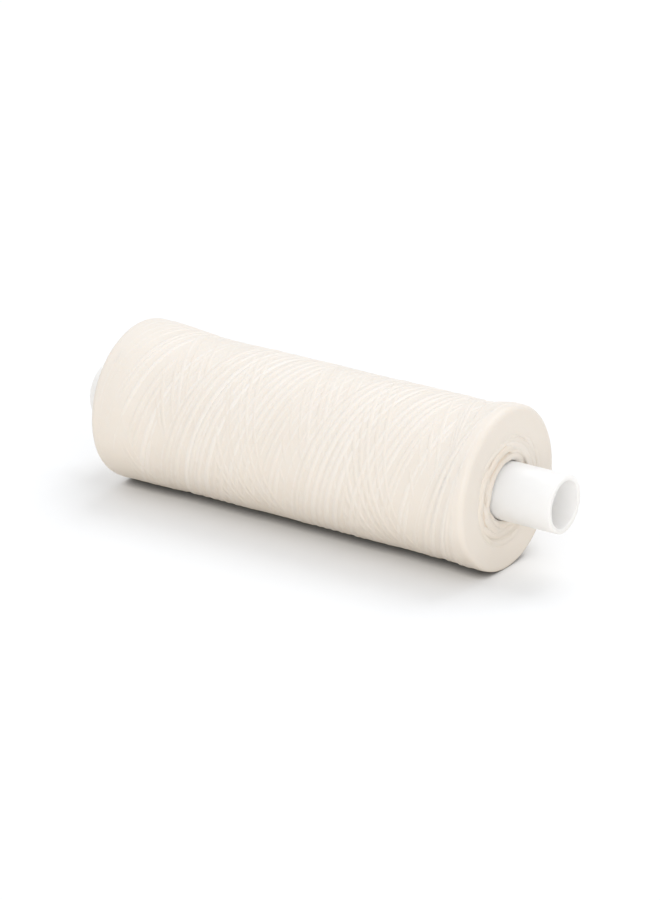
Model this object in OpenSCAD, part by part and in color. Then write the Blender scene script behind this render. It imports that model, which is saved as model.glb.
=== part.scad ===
// Waxed thread spool: a plain plastic core tube that carries a cross-wound package of waxed thread.
// The tube's axis lies along X and Z is up. The origin is on the axis, midway along the tube.

/* [Core tube] */
// Length of the core tube, end to end
tube_l = 78; // [76:0.5:100]
// Outer diameter of the core tube
tube_d = 8.3; // [6:0.1:10]
// Wall thickness of the core tube
tube_wall = 0.8; // [0.5:0.05:1.5]
// Break on the tube's cut edges
tube_edge = 0.15; // [0.05:0.05:0.2]

/* [Package] */
// Length of the wound package
package_l = 63; // [50:0.5:68]
// Diameter of the package over its built-up rims
package_d = 24; // [20:0.5:30]
// Bare tube beyond the package at the short end
short_end_l = 6; // [3:0.5:8]
// Width of each built-up rim, where the thread turns back
rim_w = 3; // [2:0.25:6]
// Length over which a rim falls to the bed of the outer turns
rim_slope = 1.25; // [1:0.25:3]
// Radius of the rounded shoulders
shoulder_r = 1.2; // [0.8:0.1:2]
// Depth of the flat that the rims rest on
rest_flat = 0.5; // [0.3:0.05:0.7]
// How far the outer turns stay clear of what the rims rest on
turn_clear = 0.05; // [0.05:0.01:0.5]
// Depth of the hollow round the tube in each end face
hollow_depth = 1.2; // [0.6:0.1:2]
// Width of that hollow at the end face
hollow_w = 0.7; // [0.3:0.1:1.5]

/* [Thread] */
// Width of the thread as it lies
thread_w = 1.1; // [0.8:0.05:1.2]
// Thickness of the thread, pressed flat by the winding tension
thread_t = 0.38; // [0.34:0.02:0.6]
// Gap between crossing threads of the two outer layers, and between turns on an end face
thread_gap = 0.46; // [0.46:0.01:0.6]
// Clearance between the shown turns and the winding under them
seat_gap = 0.05; // [0.05:0.01:0.2]

/* [Winding] */
// Turns in one double traverse, there and back, less the quarter turn that spaces the next one
traverse_turns = 6; // [4:1:6]
// Share of a turn over which the thread turns back, before and after each end
reversal = 0.2; // [0.12:0.01:0.24]
// Angle at which the outer layers start, from the top
start_angle = 30; // [0:15:345]

/* [Hidden] */

double_traverses = 4;  // each starts a quarter turn from the last, which makes an even lattice
ring_steps = 24;       // rings in one turn of a shown thread
fine_steps = 72;       // points in one turn when the least gap is measured
arc_steps = 6;         // straight stretches round a shoulder
slope_steps = 6;       // straight stretches down a rim's slope
round_fn = 96;
ivory = [0.95, 0.92, 0.86];
cream = [0.90, 0.86, 0.78];

tube_r = tube_d / 2;
package_r = package_d / 2;
package_half = package_l / 2;
package_mid = -tube_l / 2 + short_end_l + package_half;

// The turns on an end face lie in a shallow recess, flush with the shoulder round it.
face_recess = seat_gap + thread_t;
recess_r = package_r - shoulder_r;

// The two outer layers lie on a bed between the rims.
outer_r = package_r - rest_flat - turn_clear;
bed_r = outer_r - 2 * thread_t - thread_gap - seat_gap;
bed_half = package_half - rim_w - rim_slope;

// Path of the outer layers. Each pass runs out along the lower layer and back along the upper one.
period = traverse_turns - 1 / double_traverses;
swing = bed_half - thread_w / 2 - seat_gap;
pitch = 4 * swing / (period - 2 * reversal);
lean = atan2(pitch, 2 * PI * outer_r);
climb = 1 / double_traverses;

// A turn count t, taken from the nearest start of a double traverse.
function near_start(t) = t - period * round(t / period);
// Distance from an end of the traverse, in pitches, at v turns from it.
function run_out(v) = v < reversal ? v * v / (2 * reversal) : v - reversal / 2;
function strand_x(t) = let(u = near_start(t)) abs(u) < period / 4
    ? -swing + pitch * run_out(abs(u))
    : swing - pitch * run_out(period / 2 - abs(u));
// Share of the way from the lower layer to the upper: the thread changes layer as it turns back.
function ease_step(s) = let(c = max(0, min(1, s))) c * c * (3 - 2 * c);
function raised(t) = let(u = near_start(t)) abs(u) < period / 4
    ? 1 - ease_step(0.5 + u / climb)
    : ease_step(0.5 + (u < 0 ? u + period / 2 : u - period / 2) / climb);

function strand_r(t) = bed_r + seat_gap + thread_t / 2 + raised(t) * (thread_t + thread_gap);
function outward(t) = let(a = start_angle + 180 / ring_steps + 360 * t) [0, sin(a), cos(a)];
function strand_point(t) = [package_mid + strand_x(t), 0, 0] + strand_r(t) * outward(t);

first_turn = reversal;
last_turn = period * double_traverses - reversal;
outer_rings = floor((last_turn - first_turn) * ring_steps);
outer_route = [for (i = [0:outer_rings]) let(t = first_turn + i / ring_steps) [strand_point(t), outward(t)]];

// Least gap of the outer thread to itself: how far apart two sections of it lie, in the half planes
// through the axis, along the line between them, along the tube or outward, whichever is most.
function half_size(n) = max(abs(n[0]) * thread_w / 2, abs(n[0]) * thread_w / 4 + abs(n[1]) * thread_t / 2);
function across(a, b) = let(apart = [cos(lean) * (strand_x(a) - strand_x(b)), strand_r(a) - strand_r(b)])
    max([for (n = [unit(apart), [1, 0], [0, 1]]) abs(apart * n) - 2 * half_size(n)]);
outer_turns = ceil(last_turn - first_turn);
least_outer_gap = min([for (k = [0:fine_steps - 1], i = [0:outer_turns - 2], j = [i + 1:outer_turns - 1])
    let(a = first_turn + k / fine_steps + i, b = first_turn + k / fine_steps + j)
    if (b <= last_turn) across(a, b)]);

// Route of the turns on an end face: a flat spiral from the hollow out to the shoulder.
face_step = thread_w + thread_gap;
spiral_start = tube_r + hollow_w + thread_w / 2;
spiral_end = recess_r - thread_gap - thread_w / 2;
spiral_turns = (spiral_end - spiral_start) / face_step;
spiral_rings = round(spiral_turns * ring_steps);
function spiral_route(side) = [for (i = [0:spiral_rings]) let(
    a = 360 * spiral_turns * i / spiral_rings,
    r = spiral_start + (spiral_end - spiral_start) * i / spiral_rings)
    [[package_mid + side * (package_half - thread_t / 2), r * sin(a), r * cos(a)], [side, 0, 0]]];

echo(least_gap_of_outer_winding = least_outer_gap, least_gap_of_end_turns = face_step - thread_w,
     turns = last_turn - first_turn, end_turns = spiral_turns, pitch = pitch, lean_angle = lean);

// A flattened six-sided thread along a route of [centre, outward direction] pairs.
function unit(v) = v / norm(v);
function thread_ring(route, i) = let(
    last = len(route) - 1,
    ahead = unit(route[min(i + 1, last)][0] - route[max(i - 1, 0)][0]),
    side = unit(cross(ahead, route[i][1])),
    up = cross(side, ahead))
    [for (c = [[1, 0], [0.5, 1], [-0.5, 1], [-1, 0], [-0.5, -1], [0.5, -1]])
        route[i][0] + side * c[0] * thread_w / 2 + up * c[1] * thread_t / 2];

module thread_along(route) {
    last = len(route) - 1;
    points = [for (i = [0:last]) each thread_ring(route, i)];
    walls = [for (i = [0:last - 1], k = [0:5]) let(a = 6 * i + k, b = 6 * i + (k + 1) % 6)
        each [[a, a + 6, b], [b, a + 6, b + 6]]];
    caps = [for (k = [1:4]) each [[0, k, k + 1], [6 * last, 6 * last + k + 1, 6 * last + k]]];
    polyhedron(points, concat(walls, caps), convexity = 10);
}

// Turns a profile drawn as [radius, distance along the axis] about the X axis.
module about_axis() {
    rotate([0, 90, 0]) rotate_extrude($fn = round_fn) children();
}

module core_tube() {
    bore_r = tube_r - tube_wall;
    half = tube_l / 2;
    color("white") about_axis() polygon([
        [bore_r + tube_edge, -half], [tube_r - tube_edge, -half],
        [tube_r, tube_edge - half], [tube_r, half - tube_edge],
        [tube_r - tube_edge, half], [bore_r + tube_edge, half],
        [bore_r, half - tube_edge], [bore_r, tube_edge - half]]);
}

// Half of the winding's outline, from its middle out over the rim and down the end face to the tube.
function slope_at(s) = bed_half + s * rim_slope;
function slope_r(s) = bed_r + (package_r - bed_r) * ease_step(s);
function half_outline() = concat(
    [for (i = [0:slope_steps]) [slope_r(i / slope_steps), slope_at(i / slope_steps)]],
    [for (i = [0:arc_steps]) let(a = 90 * i / arc_steps)
        [recess_r + shoulder_r * cos(a), package_half - shoulder_r + shoulder_r * sin(a)]],
    [[recess_r, package_half - face_recess], [tube_r + hollow_w, package_half - face_recess],
     [tube_r, package_half - face_recess - hollow_depth]]);

module inner_winding() {
    outline = half_outline();
    mirrored = [for (i = [len(outline) - 1:-1:0]) [outline[i][0], -outline[i][1]]];
    color(cream) difference() {
        translate([package_mid, 0, 0]) about_axis() polygon(concat(outline, mirrored));
        translate([package_mid - package_l, -package_r, -package_r - 1])
            cube([2 * package_l, package_d, 1 + rest_flat]);
    }
}

module outer_winding() {
    color(ivory) thread_along(outer_route);
}

module long_end_turns() {
    color(ivory) thread_along(spiral_route(1));
}

module short_end_turns() {
    color(ivory) thread_along(spiral_route(-1));
}

core_tube();
inner_winding();
outer_winding();
long_end_turns();
short_end_turns();
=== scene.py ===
import bpy, bmesh, math
import numpy as np
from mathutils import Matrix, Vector


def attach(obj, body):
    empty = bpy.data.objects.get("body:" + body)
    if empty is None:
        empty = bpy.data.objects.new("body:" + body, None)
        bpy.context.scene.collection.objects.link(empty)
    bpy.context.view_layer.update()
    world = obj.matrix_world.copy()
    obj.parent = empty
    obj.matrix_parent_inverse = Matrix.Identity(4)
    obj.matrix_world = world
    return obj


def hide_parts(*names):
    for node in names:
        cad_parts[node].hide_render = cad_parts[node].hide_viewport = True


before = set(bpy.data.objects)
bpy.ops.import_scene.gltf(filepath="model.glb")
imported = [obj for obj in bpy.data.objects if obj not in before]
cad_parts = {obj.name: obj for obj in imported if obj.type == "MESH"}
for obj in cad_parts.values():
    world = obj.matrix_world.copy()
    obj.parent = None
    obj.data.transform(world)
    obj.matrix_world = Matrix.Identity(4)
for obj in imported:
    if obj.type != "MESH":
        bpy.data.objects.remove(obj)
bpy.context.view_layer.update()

mm = 0.001  # every length in the dictionaries is in millimetres
tiny = 1e-9  # keeps a length from being zero where it divides

def smoothStep(u):
    return u * u * (3 - 2 * u)

def share(x, start, over):  # 0 up to the start, then evenly up to 1
    return np.clip((x - start) / over, 0, 1)

def blend(a, b, amount):
    return a + (b - a) * amount

def unit(vectors):
    return vectors / (np.linalg.norm(vectors, axis=-1, keepdims=True) + tiny)

def toLinear(hexColour):  # sRGB hex to linear, for the shader
    parts = [int(hexColour[i:i + 2], 16) / 255 for i in (1, 3, 5)]
    return tuple(c / 12.92 if c <= 0.04045 else ((c + 0.055) / 1.055) ** 2.4 for c in parts) + (1,)

def newMaterial(name):
    mat = bpy.data.materials.new(name)
    mat.use_nodes = True
    mat.node_tree.nodes.clear()
    return mat, mat.node_tree

def addNode(tree, kind, settings=None, values=None, links=None):  # links: input -> (node, output)
    node = tree.nodes.new(kind)
    for key, value in (settings or {}).items():
        setattr(node, key, value)
    for key, value in (values or {}).items():
        node.inputs[key].default_value = value
    for key, (source, output) in (links or {}).items():
        tree.links.new(source.outputs[output], node.inputs[key])
    return node

def finishPiece(obj, mat, node):
    obj.data.materials.append(mat)
    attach(obj, "root")
    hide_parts(node)

def objectFromBmesh(name, bm, smoothAngle=40):
    mesh = bpy.data.meshes.new(name)
    bmesh.ops.recalc_face_normals(bm, faces=bm.faces)
    bm.to_mesh(mesh)
    bm.free()
    obj = bpy.data.objects.new(name, mesh)
    bpy.context.scene.collection.objects.link(obj)
    mesh.polygons.foreach_set("use_smooth", [True] * len(mesh.polygons))
    mesh.set_sharp_from_angle(angle=math.radians(smoothAngle))
    return obj

def spinProfile(points, steps):  # points are (x, radius) pairs, spun about the X axis
    bm = bmesh.new()
    verts = [bm.verts.new((x * mm, 0, r * mm)) for x, r in points]
    edges = [bm.edges.new((verts[i], verts[(i + 1) % len(verts)])) for i in range(len(verts))]
    bmesh.ops.spin(bm, geom=verts + edges, cent=(0, 0, 0), axis=(1, 0, 0), angle=math.tau,
                   steps=steps, use_merge=True)
    bmesh.ops.remove_doubles(bm, verts=bm.verts, dist=1e-7)
    return bm

# the deep colour is painted shade, a warm tan for the crevices round the tube
threadLook = {"light": "#F1ECE6", "shade": "#E9E1D7", "paintedCreviceColour": "#DFCCB7", "shadeAt": 0.3,
              "roughWaxed": 0.38, "roughDry": 0.6, "cloud": 5.556, "cloudTint": 0.35,
              "fibre": 0.2, "fibreShare": 0.25, "plyLine": 3.0, "linesRound": 1.5,
              "relief": 0.05, "reliefShare": 0.35, "translucent": 0.04}

def waxedThreadMaterial():
    # Waxed polyester sewing thread, twisted from plies and drawn through wax: a warm cream that lets
    # a little light through, with a soft sheen where the wax is rubbed and a fine slant of plies.
    mat, tree = newMaterial("waxedPolyesterThread")
    out = addNode(tree, "ShaderNodeOutputMaterial")
    shader = addNode(tree, "ShaderNodeBsdfPrincipled", values={
        "IOR": 1.46, "Subsurface Weight": 0.2, "Subsurface Radius": (1.0, 0.85, 0.7),
        "Subsurface Scale": threadLook["translucent"] * mm, "Sheen Weight": 0.15, "Sheen Roughness": 0.5})
    tree.links.new(shader.outputs[0], out.inputs[0])
    place = addNode(tree, "ShaderNodeTexCoord")
    # each stretch has its own tone, and the wax clouds it; the tones also carry a painted highlight on the
    # crests and painted shade in the grooves and round the tube
    strand = addNode(tree, "ShaderNodeAttribute", {"attribute_name": "strandTone"})
    cloud = addNode(tree, "ShaderNodeTexNoise", values={
        "Scale": 1 / (threadLook["cloud"] * mm), "Detail": 3.0}, links={"Vector": (place, "Object")})
    tone = addNode(tree, "ShaderNodeMath", {"operation": "MULTIPLY_ADD"},
                   {1: threadLook["cloudTint"]}, {0: (cloud, 0), 2: (strand, 2)})
    colours = addNode(tree, "ShaderNodeValToRGB", links={0: (tone, 0)})
    colours.color_ramp.elements[0].color = toLinear(threadLook["paintedCreviceColour"])
    colours.color_ramp.elements[1].color = toLinear(threadLook["light"])
    colours.color_ramp.elements.new(threadLook["shadeAt"]).color = toLinear(threadLook["shade"])
    tree.links.new(colours.outputs[0], shader.inputs["Base Color"])
    rough = addNode(tree, "ShaderNodeMapRange", values={
        "From Min": 0.3, "From Max": 0.7, "To Min": threadLook["roughWaxed"],
        "To Max": threadLook["roughDry"]}, links={0: (cloud, 0)})
    tree.links.new(rough.outputs[0], shader.inputs["Roughness"])
    # the plies slant along the thread, drawn as coarse as they need to show, with fibres over them
    uv = addNode(tree, "ShaderNodeUVMap", {"uv_map": "alongThread"})
    turn = addNode(tree, "ShaderNodeMapping", {"vector_type": "POINT"},
                   {"Scale": (1 / threadLook["plyLine"], threadLook["linesRound"], 1.0)}, {"Vector": (uv, 0)})
    ply = addNode(tree, "ShaderNodeTexWave",
                  {"wave_type": "BANDS", "bands_direction": "DIAGONAL", "wave_profile": "SIN"},
                  {"Scale": 0.6284, "Distortion": 0.25, "Detail": 1.0, "Detail Scale": 2.0},
                  {"Vector": (turn, 0)})  # at this scale one wave is one unit long
    fibre = addNode(tree, "ShaderNodeTexNoise", values={
        "Scale": 1 / (threadLook["fibre"] * mm), "Detail": 2.0}, links={"Vector": (place, "Object")})
    mixed = addNode(tree, "ShaderNodeMath", {"operation": "MULTIPLY_ADD"},
                    {1: threadLook["fibreShare"]}, {0: (fibre, 0), 2: (ply, 1)})
    bump = addNode(tree, "ShaderNodeBump", values={
        "Strength": threadLook["reliefShare"], "Distance": threadLook["relief"] * mm},
        links={"Height": (mixed, 0)})
    tree.links.new(bump.outputs[0], shader.inputs["Normal"])
    return mat

tubeLook = {"shade": "#F3F4F5", "light": "#FAFBFC", "rough": (0.26, 0.33), "cloud": 4.0,
            "dieLine": (50.0, 0.8333), "relief": 0.01, "reliefShare": 0.006, "translucent": 2.5}

def tubePlasticMaterial():
    # Extruded white polypropylene: clean, slightly translucent, with the faint lines that the die
    # leaves along the tube and a soft gloss.
    mat, tree = newMaterial("extrudedPolypropylene")
    out = addNode(tree, "ShaderNodeOutputMaterial")
    shader = addNode(tree, "ShaderNodeBsdfPrincipled", values={
        "IOR": 1.49, "Subsurface Weight": 0.9, "Subsurface Radius": (1.0, 0.97, 0.94),
        "Subsurface Scale": tubeLook["translucent"] * mm, "Coat Weight": 0.2, "Coat Roughness": 0.12})
    tree.links.new(shader.outputs[0], out.inputs[0])
    place = addNode(tree, "ShaderNodeTexCoord")
    cloud = addNode(tree, "ShaderNodeTexNoise", values={
        "Scale": 1 / (tubeLook["cloud"] * mm), "Detail": 2.0}, links={"Vector": (place, "Object")})
    colours = addNode(tree, "ShaderNodeValToRGB", links={0: (cloud, 0)})
    colours.color_ramp.elements[0].color = toLinear(tubeLook["shade"])
    colours.color_ramp.elements[1].color = toLinear(tubeLook["light"])
    tree.links.new(colours.outputs[0], shader.inputs["Base Color"])
    lengthwise, crosswise = (1 / (size * mm) for size in tubeLook["dieLine"])
    drawn = addNode(tree, "ShaderNodeMapping", {"vector_type": "POINT"},
                    {"Scale": (lengthwise, crosswise, crosswise)}, {"Vector": (place, "Object")})
    lines = addNode(tree, "ShaderNodeTexNoise", values={"Scale": 1.0, "Detail": 2.0},
                    links={"Vector": (drawn, 0)})
    rough = addNode(tree, "ShaderNodeMapRange", values={
        "To Min": tubeLook["rough"][0], "To Max": tubeLook["rough"][1]}, links={0: (lines, 0)})
    tree.links.new(rough.outputs[0], shader.inputs["Roughness"])
    bump = addNode(tree, "ShaderNodeBump", values={
        "Strength": tubeLook["reliefShare"], "Distance": tubeLook["relief"] * mm},
        links={"Height": (lines, 0)})
    tree.links.new(bump.outputs[0], shader.inputs["Normal"])
    return mat

threadMat = waxedThreadMaterial()
tubeMat = tubePlasticMaterial()
print("materials made")

tube = {"length": 78.0, "radius": 4.15, "wall": 0.8, "edge": 0.15, "edgeSteps": 3, "steps": 160}

def makeTube():
    half, outer, inner = tube["length"] / 2, tube["radius"], tube["radius"] - tube["wall"]
    profile = []
    for x, r, start in [(-half, outer, 180), (half, outer, 90), (half, inner, 0), (-half, inner, -90)]:
        cx = x - math.copysign(tube["edge"], x)
        cr = r - math.copysign(tube["edge"], r - (outer + inner) / 2)
        for k in range(tube["edgeSteps"] + 1):  # rounded cut edge
            a = math.radians(start - 90 * k / tube["edgeSteps"])
            profile.append((cx + tube["edge"] * math.cos(a), cr + tube["edge"] * math.sin(a)))
    return objectFromBmesh("coreTube", spinProfile(profile, tube["steps"]))

finishPiece(makeTube(), tubeMat, "core_tube")
print("core tube made")

package = {"length": 63.0, "middle": -1.5, "rimRadius": 12.0, "waist": 0.66, "shoulder": 0.85,
           "shortEnd": {"rimWidth": 1.6, "fall": 10.0}, "longEnd": {"rimWidth": 0.8, "fall": 4.5},
           "dish": 0.35, "dishEven": 0.2, "dishFrom": 0.35, "gapAtTube": 0.35,
           "floor": -11.5, "sagFrom": 100, "sagOver": 45, "sag": 1.0, "sagSoft": 0.3,
           "bodyStep": 0.1, "shoulderPoints": 20, "facePoints": 65, "normalReach": 0.25,
           "meanRadius": 11.6}

def halfOutline(end):  # (x, radius) from the middle over the shoulder and down the end face to the tube
    half, rim, sh = package["length"] / 2, package["rimRadius"], package["shoulder"]
    points = []
    for x in np.arange(0, half - sh, package["bodyStep"]):
        fall = np.clip((half - sh - end["rimWidth"] - x) / end["fall"], 0, 1)
        points.append((x, rim - package["waist"] * smoothStep(fall)))
    for a in np.linspace(0, math.pi / 2, package["shoulderPoints"]):
        points.append((half - sh + sh * math.sin(a), rim - sh + sh * math.cos(a)))
    inner = tube["radius"] + package["gapAtTube"]
    even, start = package["dishEven"], package["dishFrom"]
    for u in np.linspace(0, 1, package["facePoints"] + 1)[1:]:
        sunk = even * u + (1 - even) * share(u, start, 1 - start) ** 2
        points.append((half - package["dish"] * sunk, rim - sh + (inner - rim + sh) * u))
    return np.array(points)

def outlineTable():  # the outer surface by the distance along it, from end to end
    right = halfOutline(package["longEnd"])
    left = halfOutline(package["shortEnd"])[:0:-1] * (-1, 1)
    points = np.vstack([left, right])
    run = np.concatenate([[0], np.cumsum(np.hypot(*np.diff(points, axis=0).T))])
    run -= run[len(left)]
    return run, points, run[-package["facePoints"]]  # the last is where the end face starts

outlineRun, outlinePoints, runShoulder = outlineTable()
runFace = float(outlineRun[-1])

def outlineAt(s):
    return np.interp(s, outlineRun, outlinePoints[:, 0]), np.interp(s, outlineRun, outlinePoints[:, 1])

def sagUnder(r, angle):  # the soft rims give where the package lies on the table
    fromTop = np.degrees(np.abs((angle + math.pi) % math.tau - math.pi))
    give = smoothStep(share(fromTop, package["sagFrom"], package["sagOver"]))
    over = np.clip(r - package["rimRadius"] + package["waist"], 0, None)
    return package["sag"] * give * over * over / (over + package["sagSoft"])

def onOutline(s, angle, height):  # a point at a distance along the outline, an angle and a height over it
    x, r = outlineAt(s)
    xBefore, rBefore = outlineAt(s - package["normalReach"])
    xAfter, rAfter = outlineAt(s + package["normalReach"])
    size = np.hypot(xAfter - xBefore, rAfter - rBefore) + tiny
    nx, nr = (rBefore - rAfter) / size, (xAfter - xBefore) / size
    r = r - sagUnder(r, angle)
    x, r = x + nx * height, r + nr * height
    point = np.stack([package["middle"] + x, -r * np.sin(angle), r * np.cos(angle)], -1)
    normal = np.stack([nx, -nr * np.sin(angle), nr * np.cos(angle)], -1)
    return point, normal

# The thread is laid pass by pass on a grid of heights over the outline, and drawn from what that gives.
thread = {"width": 1.16, "thick": 0.80, "grid": 0.1, "samplesPerTurn": 256, "seed": 11,
          # the winding, in turns, with its slips as shares of the creep
          "turnsPerDouble": 6.0, "creep": -0.0585, "doubles": 27, "reversal": 0.22, "startTurn": 0.5,
          "slipDrift": 0.035, "slipEach": 0.08,
          # where it turns back, and how far it strays
          "shift": 0.9, "clearOfShoulder": 1.4, "endSpread": 1.6, "endShape": (1.3, 1.6),
          "wander": 0.07, "wanderStep": 120,
          # how it seats on what lies there, and bridges the dips
          "acrossPoints": 15, "coreShare": 0.8, "seat": 0.9, "bridgeReach": 1.1, "bridging": 0.65,
          # as drawn: flat, because it packs under tension, and rounder where it lies loose
          "ringsPerTurn": 64, "sides": 8, "drawnWidth": 1.02, "drawnThick": 0.44,
          "looseWidth": 1.2, "looseThick": 0.66, "overFloor": 0.02,
          "settle": 0.058, "relief": 0.085, "rimRelief": 0.024, "looseSettle": 0.30, "looseRelief": 0.6,
          # the short and the long end, then the outward and the return passes; the passes' tones sit above
          # the waxed layer's as a painted highlight on the crests
          "rimFrom": (8.5, 4.8), "rimFade": 3.6, "lift": (-0.026, 0.012), "tones": (0.42, 0.58),
          "toneSpread": 0.07, "toneDrift": 0.05, "toneStep": 30, "rimTone": 0.8, "endTuck": 0.1}
rng =np.random.default_rng(thread["seed"])

gridS = int(round(2 * runFace / thread["grid"])) + 1
gridA = int(round(math.tau * package["meanRadius"] / thread["grid"]))
height = np.zeros((gridS, gridA))

def smoothNoise(count, step, amount):  # gentle wander along a thread
    knots = rng.normal(0, 1, int(count / step) + 4)
    at = np.arange(count) / step
    i = at.astype(int)
    f = smoothStep(at - i)
    return amount * (knots[i] * (1 - f) + knots[i + 1] * f)

def layThread(s, angle, sink=0.0):  # one stretch over what lies there, bridging the dips
    r = outlineAt(s)[1]
    ds, da = np.gradient(s), np.gradient(angle) * r
    size = np.hypot(ds, da) + tiny
    crossS, crossA = -da / size, ds / size
    half = thread["width"] / 2
    offsets = np.linspace(-half, half, thread["acrossPoints"])
    lift = thread["thick"] / 2 * np.sqrt(np.clip(1 - (offsets / half) ** 2, 0, 1))
    atS = s[:, None] + crossS[:, None] * offsets
    atA = angle[:, None] + crossA[:, None] * offsets / r[:, None]
    cellS = np.clip(np.round((atS + runFace) / thread["grid"]), 0, gridS - 1).astype(int)
    cellA = np.round(atA / math.tau * gridA).astype(int) % gridA
    touching = np.abs(offsets) < half * thread["coreShare"]
    under = (height[cellS, cellA] + lift * thread["seat"])[:, touching].max(1)
    reach = max(1, int(thread["bridgeReach"] / np.median(size)))
    padded = np.pad(under, reach, mode="edge")
    top = np.lib.stride_tricks.sliding_window_view(padded, 2 * reach + 1).max(1)
    kernel = np.hanning(2 * reach + 3)[1:-1]
    kernel /= kernel.sum()
    bridge = np.convolve(np.pad(top, reach, mode="edge"), kernel, mode="valid")
    plain = np.convolve(padded, kernel, mode="valid")
    centre = blend(plain, bridge, thread["bridging"]) - sink
    np.maximum.at(height, (cellS, cellA), centre[:, None] + lift)
    return centre

def windPackage():
    period = thread["turnsPerDouble"] + thread["creep"]
    apexes = 2 * thread["doubles"] + 2
    spread = thread["endSpread"] * rng.beta(*thread["endShape"], apexes)
    reach = runShoulder - thread["clearOfShoulder"] - spread
    drift = np.cumsum(rng.normal(0, thread["slipDrift"], apexes))
    slip = thread["creep"] * (drift + rng.normal(0, thread["slipEach"], apexes))

    def runOut(v):  # distance from the end, in pitches, at v turns from it
        back = thread["reversal"]
        return np.where(v < back, v * v / (2 * back), v - back / 2)

    strands = []
    for k in range(apexes - 1):  # from apex k to apex k + 1; even apexes are at the short end
        count = int(period / 2 * thread["samplesPerTurn"])
        v = np.linspace(0, period / 2, count, endpoint=False)
        sign = -1 if k % 2 == 0 else 1
        start = sign * reach[k] * (1 - runOut(v) / runOut(period / 4))
        finish = -sign * reach[k + 1] * (1 - runOut(period / 2 - v) / runOut(period / 4))
        s = np.where(v < period / 4, start, finish)
        s = s + thread["shift"] * (1 - (s / reach.max()) ** 2)
        stray = smoothNoise(count, thread["wanderStep"], thread["wander"])
        s = s + stray * np.sin(math.tau * v / period) ** 0.5  # none where it turns back
        turns = thread["startTurn"] + k * period / 2 + v + blend(slip[k], slip[k + 1], 2 * v / period)
        strands.append((s, turns * math.tau, layThread(s, turns * math.tau)))
    return strands

strands = windPackage()
print("winding laid:", len(strands), "passes")

# Everything is set to the outline: the usual top of the laid thread is brought onto it.
level = {"percent": 60, "sideOver": 0.2, "faceFade": 0.6,
         "sideCells": 41, "faceCells": 11}  # odd counts of grid cells that it is evened over

def smoothed(row, kernel):
    return np.convolve(np.pad(row, len(kernel) // 2, mode="edge"), kernel / kernel.sum(), mode="valid")

topRun = np.arange(gridS) * thread["grid"] - runFace
onSide = np.abs(topRun) < runShoulder + level["sideOver"]
meanTop = np.interp(topRun, topRun[onSide], np.percentile(height, level["percent"], axis=1)[onSide])
meanTop = smoothed(meanTop, np.hanning(level["sideCells"]))

def sectionAt(rounded):  # pressed flat on the package, rounder where it lies loose by the tube
    return (blend(thread["drawnWidth"], thread["looseWidth"], rounded),
            blend(thread["drawnThick"], thread["looseThick"], rounded))

def threadPiece(name, stretches):  # stretches: (s, angle, height over the outline, tone, roundness 0 to 1)
    sides = thread["sides"]
    points, tones, faces, faceUvs, smooth, base = [], [], [], [], [], 0
    section = np.arange(sides) / sides * math.tau
    j = np.arange(sides)[None, :]
    caps = np.array([(0, k, k + 1, k + 2) for k in range(1, sides - 2, 2)])
    for s, angle, h, tone, rounded in stretches:
        centre, normal = onOutline(s, angle, h)
        wide, thick = sectionAt(rounded)
        along = unit(np.gradient(centre, axis=0))
        across = unit(np.cross(along, normal))
        up = np.cross(across, along)
        ring = (centre[:, None] + across[:, None] * (np.cos(section) * wide[:, None] / 2)[:, :, None]
                + up[:, None] * (np.sin(section) * thick[:, None] / 2)[:, :, None])
        points.append(ring.reshape(-1, 3))
        tones.append(np.repeat(tone, sides))
        i = np.arange(len(s) - 1)[:, None] * sides
        here, beside = i + j, i + (j + 1) % sides
        walls = np.stack([here, here + sides, beside + sides, beside], -1).reshape(-1, 4)
        lastRing = (len(s) - 1) * sides
        faces.append(base + np.vstack([walls, caps, caps[:, ::-1] + lastRing]))
        smooth.append(np.repeat([True, False], [len(walls), 2 * len(caps)]))
        length = np.concatenate([[0], np.cumsum(np.linalg.norm(np.diff(centre, axis=0), axis=1))])
        l0, l1 = length[:-1, None] + 0 * j, length[1:, None] + 0 * j
        v0, v1 = j / sides + 0 * l0, (j + 1) / sides + 0 * l0
        corners = [np.stack(corner, -1) for corner in ((l0, v0), (l1, v0), (l1, v1), (l0, v1))]
        faceUvs.append(np.stack(corners, 2).reshape(-1, 2))
        faceUvs.append(np.repeat([[0, 0], [length[-1], 0]], caps.size, axis=0))
        base += len(s) * sides
    points, faces = np.vstack(points), np.vstack(faces)
    lowest = package["floor"] + thread["overFloor"]  # pressed flat where it lies on the table
    points[:, 2] = np.maximum(points[:, 2], lowest)
    mesh = bpy.data.meshes.new(name)
    mesh.from_pydata(points * mm, [], faces)
    mesh.polygons.foreach_set("use_smooth", np.concatenate(smooth))
    layer = mesh.uv_layers.new(name="alongThread")
    layer.data.foreach_set("uv", np.vstack(faceUvs).ravel())
    attribute = mesh.attributes.new("strandTone", "FLOAT", "POINT")
    attribute.data.foreach_set("value", np.concatenate(tones))
    obj = bpy.data.objects.new(name, mesh)
    bpy.context.scene.collection.objects.link(obj)
    print(name, "has", len(faces) * 2, "triangles")
    return obj

def underWax(s):  # 0 on the body to 1 at the rim, where the wax closes over the thread
    start = runShoulder - np.where(s < 0, *thread["rimFrom"])
    return smoothStep(share(np.abs(s), start, thread["rimFade"]))

def settled(h, rim=0.0, rounded=0.0):  # height over the mean top, as it lies once the layers have bedded in
    ratio = blend(thread["settle"], thread["looseSettle"], rounded)
    most = (thread["relief"] + (thread["rimRelief"] - thread["relief"]) * rim
            + (thread["looseRelief"] - thread["relief"]) * rounded)
    return most * np.tanh(h * ratio / most)

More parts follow.
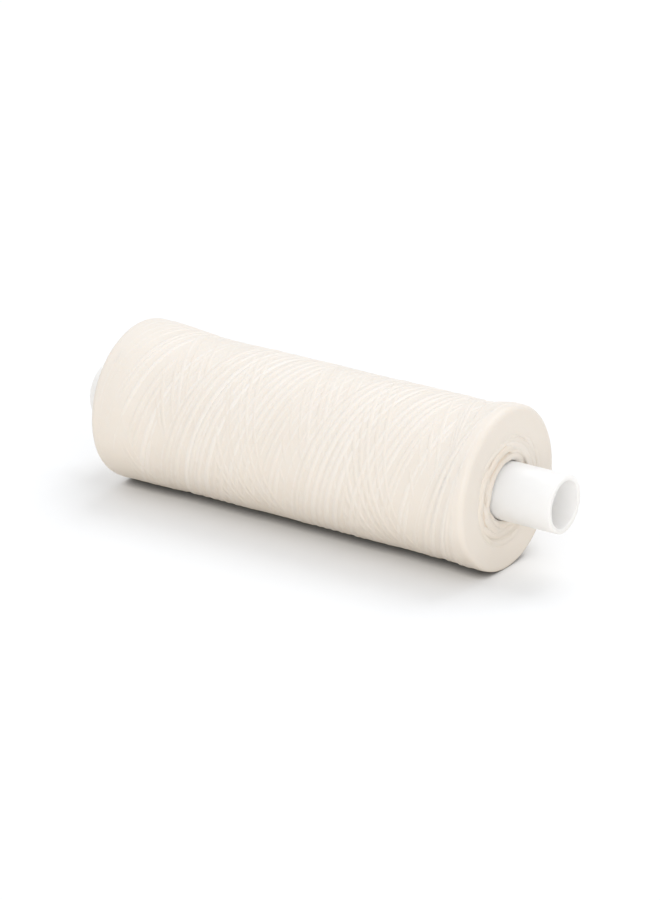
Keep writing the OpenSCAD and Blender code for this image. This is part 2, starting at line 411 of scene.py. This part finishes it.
def ringsOf(k, s, angle, centre):  # the rings of a pass, set to the outline
    # painted highlight: the passes sit lighter than the waxed layer, the return passes most, like lit crests
    passTone = thread["tones"][k % 2] + rng.normal(0, thread["toneSpread"])
    step = thread["samplesPerTurn"] // thread["ringsPerTurn"]
    keep = np.append(np.arange(0, len(s) - 1, step), len(s) - 1)
    rim = underWax(s[keep])
    crest = centre[keep] + thread["thick"] / 2 - np.interp(s[keep], topRun, meanTop)
    h = settled(crest, rim) - thread["drawnThick"] / 2 + thread["lift"][k % 2]
    h[[0, -1]] -= thread["endTuck"]  # its closed ends lie under the wax
    tone = blend(passTone, thread["tones"][0], thread["rimTone"] * rim)
    tone = tone + smoothNoise(len(keep), thread["toneStep"], thread["toneDrift"])
    return s[keep], angle[keep], h, tone, 0 * rim

passes = [ringsOf(k, *strand) for k, strand in enumerate(strands)]
finishPiece(threadPiece("outwardPasses", passes[0::2]), threadMat, "outer_winding")
finishPiece(threadPiece("returnPasses", passes[1::2]), threadMat, "outer_winding")

endFace = {"arcs": 64, "scatter": 0.05, "clearOfRim": 1.4, "overRim": 0.3, "clearOfTube": 0.35,
           # half of an arc in turns, and how it strays from a circle
           "span": (0.16, 0.40), "slant": 0.7, "bow": (-0.2, 1.6), "drift": 0.8,
           "fewestPoints": 40, "pointEvery": 0.28, "keepEvery": 3,
           # pressed into what lies there, deeper at its ends
           "sink": 0.12, "dip": 1.0, "dipFrom": 0.72,
           # as drawn: flat out on the face, loose by the tube, with its ends under the wax
           "sinkOutside": 0.10, "flatOutside": 0.7, "loose": 2.1, "looseFade": 2.0,
           "tuck": 0.75, "tuckFrom": 0.78,
           # the last value darkens the loose turns by the tube as painted shade in the crevice
           "tone": 0.42, "toneSpread": 0.08, "toneDrift": 0.04, "creviceShadeTone": 0.28}

def layEndFace(side):  # stretches of thread that lie round the tube on an end face
    rimRun, tubeRun = runShoulder + endFace["clearOfRim"], runFace - endFace["clearOfTube"]
    order = np.linspace(0, 1, endFace["arcs"]) + rng.normal(0, endFace["scatter"], endFace["arcs"])
    rng.shuffle(order)
    arcs = []
    for u in order:
        s0 = blend(tubeRun, rimRun, np.clip(u, 0, 1))
        half = rng.uniform(*endFace["span"]) * math.tau
        middle = rng.uniform(0, math.tau)
        count = int(2 * half * outlineAt(s0)[1] / endFace["pointEvery"])
        w = np.linspace(-1, 1, max(endFace["fewestPoints"], count))
        slant, bow = rng.normal(0, endFace["slant"]), rng.uniform(*endFace["bow"])
        s = s0 + endFace["drift"] * (w * slant - w * w * bow)
        s = side * np.clip(s, rimRun - endFace["overRim"], tubeRun)
        angle = middle + half * w
        dive = endFace["dip"] * share(np.abs(w), endFace["dipFrom"], 1 - endFace["dipFrom"]) ** 2
        arcs.append((s, angle, layThread(s, angle, endFace["sink"] + dive)))
    return arcs

arcSets = {side: layEndFace(side) for side in (1, -1)}
faceTop = smoothed(np.percentile(height, level["percent"], axis=1), np.ones(level["faceCells"]))
levelTop = blend(meanTop, faceTop, share(np.abs(topRun), runShoulder, level["faceFade"]))

def byTube(s):  # 0 out on the end face to 1 near the tube, where the turns lie loose
    return share(np.abs(s), runFace - endFace["loose"] - endFace["looseFade"], endFace["looseFade"])

def finishEndFace(name, side, node):
    stretches = []
    for s, angle, centre in arcSets[side]:
        keep = np.arange(0, len(s), endFace["keepEvery"])
        rounded = byTube(s)
        outside = 1 - rounded
        crest = centre + thread["thick"] / 2 - np.interp(s, topRun, levelTop)
        h = settled(crest * (1 - endFace["flatOutside"] * outside), 0.0, rounded)
        h = h - sectionAt(rounded)[1] / 2 - endFace["sinkOutside"] * outside
        fromMiddle = np.abs(np.linspace(-1, 1, len(s)))
        nearEnds = share(fromMiddle, endFace["tuckFrom"], 1 - endFace["tuckFrom"])
        h = h - endFace["tuck"] * nearEnds ** 2
        tone = endFace["tone"] + rng.normal(0, endFace["toneSpread"])
        tone = tone + smoothNoise(len(keep), thread["toneStep"], endFace["toneDrift"])
        # painted shade: the loose turns by the tube are darkened towards the warm tan
        tone = tone - endFace["creviceShadeTone"] * rounded[keep]
        stretches.append((s[keep], angle[keep], h[keep], tone, rounded[keep]))
    finishPiece(threadPiece(name, stretches), threadMat, node)

finishEndFace("longEndFace", 1, "long_end_turns")
finishEndFace("shortEndFace", -1, "short_end_turns")
print("end faces made")

# Wax and the turns below fill the grooves nearly up to the outer thread; its tone, a little below the
# thread's, is painted shade in the grooves. The first five values are how far it lies below that thread's
# tops.
waxedLayer = {"body": 0.028, "bodySwing": 0.008, "rim": 0.006, "face": -0.005, "nearTube": 0.25,
              "blur": 0.4, "patch": 3.0, "patchMost": 1.5, "faceFrom": 0.5, "faceFade": 2.0,
              "step": 0.25, "around": 208, "seatIn": 2.4, "overTube": 0.05, "overFloor": 0.03,
              # the last two values are how far round the tube the painted crevice shade reaches and fades
              "searchParts": 40, "tone": 0.37, "creviceShadeReach": 3.0, "creviceShadeFade": 2.0}

def blurred(field, size):  # size in mm; round the package it wraps
    sigma = size / thread["grid"]
    radius = int(round(3 * sigma))
    kernel = np.exp(-0.5 * (np.arange(-radius, radius + 1) / sigma) ** 2)
    kernel /= kernel.sum()
    wrapped = np.concatenate([field[:, -radius:], field, field[:, :radius]], axis=1)
    out = sum(k * wrapped[:, i:i + field.shape[1]] for i, k in enumerate(kernel))
    edged = np.pad(out, ((radius, radius), (0, 0)), mode="edge")
    return sum(k * edged[i:i + field.shape[0]] for i, k in enumerate(kernel))

def waxField():  # height of the waxed layer over the outline, on the height grid
    rim = underWax(topRun)
    face = share(np.abs(topRun), runShoulder + waxedLayer["faceFrom"], waxedLayer["faceFade"])
    field = blurred(settled(height - levelTop[:, None], rim[:, None]), waxedLayer["blur"])
    depth = blend(waxedLayer["body"], waxedLayer["rim"], rim)
    depth = blend(depth, blend(waxedLayer["face"], waxedLayer["nearTube"], byTube(topRun)), face)
    patches = blurred(rng.normal(0, 1, height.shape), waxedLayer["patch"])
    patches = np.clip(patches / patches.std(), -waxedLayer["patchMost"], waxedLayer["patchMost"])
    return field - depth[:, None] - (waxedLayer["bodySwing"] * (1 - rim) * (1 - face))[:, None] * patches

def makeWaxedLayer():
    field = waxField()
    keepRun = np.arange(-runFace, runFace + 0.01, waxedLayer["step"])
    spot, _ = onOutline(keepRun, 0 * keepRun, 0 * keepRun)
    seat = package["length"] / 2 - waxedLayer["seatIn"]
    seatRadius = tube["radius"] + waxedLayer["overTube"]
    profile = np.vstack([spot[:, [0, 2]], (package["middle"] + seat, seatRadius),
                         (package["middle"] - seat, seatRadius)])
    obj = objectFromBmesh("waxedLayer", spinProfile(profile, waxedLayer["around"]), 180)
    co = np.empty(len(obj.data.vertices) * 3)
    obj.data.vertices.foreach_get("co", co)
    co = co.reshape(-1, 3) / mm
    radius, angle = np.hypot(co[:, 1], co[:, 2]), np.arctan2(-co[:, 1], co[:, 2])
    spun = np.array_split(np.stack([co[:, 0], radius], -1), waxedLayer["searchParts"])
    which = np.concatenate([((part[:, None] - profile) ** 2).sum(-1).argmin(1) for part in spun])
    outer = which < len(keepRun)
    s = keepRun[which[outer]]
    row = np.clip((s + runFace) / thread["grid"], 0, gridS - 1.001)
    col = (angle[outer] / math.tau % 1) * gridA
    i, j = row.astype(int), col.astype(int)
    fi, fj = row - i, col - j
    j, jn = j % gridA, (j + 1) % gridA
    rise = blend(blend(field[i, j], field[i + 1, j], fi), blend(field[i, jn], field[i + 1, jn], fi), fj)
    co[outer], _ = onOutline(s, angle[outer], rise)
    co[:, 2] = np.maximum(co[:, 2], package["floor"] + waxedLayer["overFloor"])  # pressed on the table
    obj.data.vertices.foreach_set("co", (co * mm).ravel())
    attribute = obj.data.attributes.new("strandTone", "FLOAT", "POINT")
    creviceShade = share(-radius, -tube["radius"] - waxedLayer["creviceShadeReach"], waxedLayer["creviceShadeFade"])
    attribute.data.foreach_set("value", waxedLayer["tone"] * (1 - creviceShade))  # painted shade in the hollow round the tube
    print("waxedLayer has", len(obj.data.polygons) * 2, "triangles")
    return obj

finishPiece(makeWaxedLayer(), threadMat, "inner_winding")

studio = {"world": 0.815, "floorSize": 4000.0, "floorSeen": (0.955, 0.97, 0.99, 1),
          # the dark colour and its reach are a painted contact shadow on the floor
          "paintedContactShadow": (0.125, 0.125, 0.135, 1), "paintedShadowReach": 1.8, "openAt": 0.6,
          # the bounce colours are painted light: warm, to warm the spool's underside, and darker under the
          # package as painted shade
          "floorBounce": (0.78, 0.74, 0.68, 1), "paintedUnderShade": (0.53, 0.475, 0.385, 1),
          "underReach": (7.0, 17.0), "whiteFrom": (200.0, 700.0),
          "overhead": {"place": (0.0, 320.0, 620.0), "size": 500.0, "power": 1.3},
          "fill": {"place": (460.0, -700.0, 120.0), "size": 800.0, "power": 3.1}}

def shownRays(tree):  # 1 for what the camera sees, also in a gloss or through something clear
    ray = addNode(tree, "ShaderNodeLightPath")
    glossy = addNode(tree, "ShaderNodeMath", {"operation": "MAXIMUM"},
                     links={0: (ray, "Is Camera Ray"), 1: (ray, "Is Glossy Ray")})
    return addNode(tree, "ShaderNodeMath", {"operation": "MAXIMUM"},
                   links={0: (glossy, 0), 1: (ray, "Is Transmission Ray")})

def whitePaperMaterial():
    # A sweep of matt white paper, which takes a soft shadow and has no gloss, with a painted contact shadow
    # and painted shade in its bounce under the spool.
    mat, tree = newMaterial("whitePaperSweep")
    out = addNode(tree, "ShaderNodeOutputMaterial")
    shown = shownRays(tree)
    place = addNode(tree, "ShaderNodeTexCoord")
    # it shows white, with a painted contact shadow where the spool meets it
    near = addNode(tree, "ShaderNodeAmbientOcclusion", {"samples": 8},
                   {"Distance": studio["paintedShadowReach"] * mm})
    openness = addNode(tree, "ShaderNodeMapRange", values={"From Max": studio["openAt"]},
                       links={0: (near, "AO")})
    seen = addNode(tree, "ShaderNodeMix", {"data_type": "RGBA"},
                   {6: studio["paintedContactShadow"], 7: studio["floorSeen"]}, {0: (openness, 0)})
    # what it throws back up is a painted warm bounce onto the spool, with painted shade under the package
    # that throws less onto its underside
    axes = addNode(tree, "ShaderNodeSeparateXYZ", links={0: (place, "Object")})
    along = addNode(tree, "ShaderNodeMath", {"operation": "ABSOLUTE"}, links={0: (axes, 0)})
    sideways = addNode(tree, "ShaderNodeMath", {"operation": "ABSOLUTE"}, links={0: (axes, 1)})
    beyond = addNode(tree, "ShaderNodeMath", {"operation": "SUBTRACT"},
                     {1: package["length"] / 3 * mm}, {0: (along, 0)})
    apart = addNode(tree, "ShaderNodeMath", {"operation": "MAXIMUM"},
                    links={0: (sideways, 0), 1: (beyond, 0)})
    underFrom, underTo = studio["underReach"]
    clear = addNode(tree, "ShaderNodeMapRange", {"interpolation_type": "SMOOTHSTEP"},
                    {"From Min": underFrom * mm, "From Max": underTo * mm}, {0: (apart, 0)})
    bounce = addNode(tree, "ShaderNodeMix", {"data_type": "RGBA"},
                     {6: studio["paintedUnderShade"], 7: studio["floorBounce"]}, {0: (clear, 0)})
    tone = addNode(tree, "ShaderNodeMix", {"data_type": "RGBA"},
                   links={0: (shown, 0), 6: (bounce, 2), 7: (seen, 2)})
    paper = addNode(tree, "ShaderNodeBsdfDiffuse", links={"Color": (tone, 2)})
    # far from the spool it goes to plain white
    whiteFrom, whiteTo = studio["whiteFrom"]
    radius = addNode(tree, "ShaderNodeVectorMath", {"operation": "LENGTH"}, links={0: (place, "Object")})
    far = addNode(tree, "ShaderNodeMapRange", {"interpolation_type": "SMOOTHSTEP"},
                  {"From Min": whiteFrom * mm, "From Max": whiteTo * mm}, {0: (radius, "Value")})
    farShown = addNode(tree, "ShaderNodeMath", {"operation": "MULTIPLY"},
                       links={0: (far, 0), 1: (shown, 0)})
    white = addNode(tree, "ShaderNodeEmission", values={"Color": (1, 1, 1, 1), "Strength": 1.0})
    shader = addNode(tree, "ShaderNodeMixShader", links={0: (farShown, 0), 1: (paper, 0), 2: (white, 0)})
    tree.links.new(shader.outputs[0], out.inputs[0])
    return mat

def makeFloor():
    bm = bmesh.new()
    bmesh.ops.create_grid(bm, x_segments=1, y_segments=1, size=studio["floorSize"] * mm)
    bmesh.ops.translate(bm, verts=bm.verts, vec=(0, 0, package["floor"] * mm))
    floor = objectFromBmesh("floor", bm)
    floor.data.materials.append(whitePaperMaterial())

def makeWorld():
    world = bpy.data.worlds.new("studio")
    bpy.context.scene.world = world
    world.use_nodes = True
    tree = world.node_tree
    tree.nodes.clear()
    out = addNode(tree, "ShaderNodeOutputWorld")
    shown = shownRays(tree)
    ambient = addNode(tree, "ShaderNodeBackground",
                      values={"Color": (1, 1, 1, 1), "Strength": studio["world"]})
    white = addNode(tree, "ShaderNodeBackground", values={"Color": (1, 1, 1, 1), "Strength": 1.0})
    mix = addNode(tree, "ShaderNodeMixShader", links={0: (shown, 0), 1: (ambient, 0), 2: (white, 0)})
    tree.links.new(mix.outputs[0], out.inputs[0])

def makeSoftbox(name, lamp):  # a round one that faces the spool
    data = bpy.data.lights.new(name, "AREA")
    data.shape, data.size, data.energy = "DISK", lamp["size"] * mm, lamp["power"]
    light = bpy.data.objects.new(name, data)
    bpy.context.scene.collection.objects.link(light)
    light.location = Vector(lamp["place"]) * mm
    light.rotation_mode = "QUATERNION"
    light.rotation_quaternion = (-light.location).to_track_quat("-Z", "Y")

makeFloor()
makeWorld()
makeSoftbox("overheadSoftbox", studio["overhead"])
makeSoftbox("fillSoftbox", studio["fill"])

camera = {"azimuth": 55.58, "elevation": 21.48, "distance": 574.0, "lens": 162.85, "sensor": 36.0,
          "shift": (0.01234, -0.00770), "clip": (10.0, 20000.0)}

def makeCamera():
    data = bpy.data.cameras.new("camera")
    data.lens, data.sensor_width = camera["lens"], camera["sensor"]
    data.shift_x, data.shift_y = camera["shift"]
    data.clip_start, data.clip_end = (distance * mm for distance in camera["clip"])
    cam = bpy.data.objects.new("camera", data)
    bpy.context.scene.collection.objects.link(cam)
    a, e = math.radians(camera["azimuth"]), math.radians(camera["elevation"])
    back = Vector((math.cos(a) * math.cos(e), -math.sin(a) * math.cos(e), math.sin(e)))
    cam.location = Vector((package["middle"] * mm, 0, 0)) + back * camera["distance"] * mm
    cam.rotation_mode = "QUATERNION"
    cam.rotation_quaternion = (-back).to_track_quat("-Z", "Y")
    bpy.context.scene.camera = cam

makeCamera()
bpy.context.scene.view_settings.view_transform = "Standard"
bpy.context.scene.view_settings.look = "None"
print("stage made")
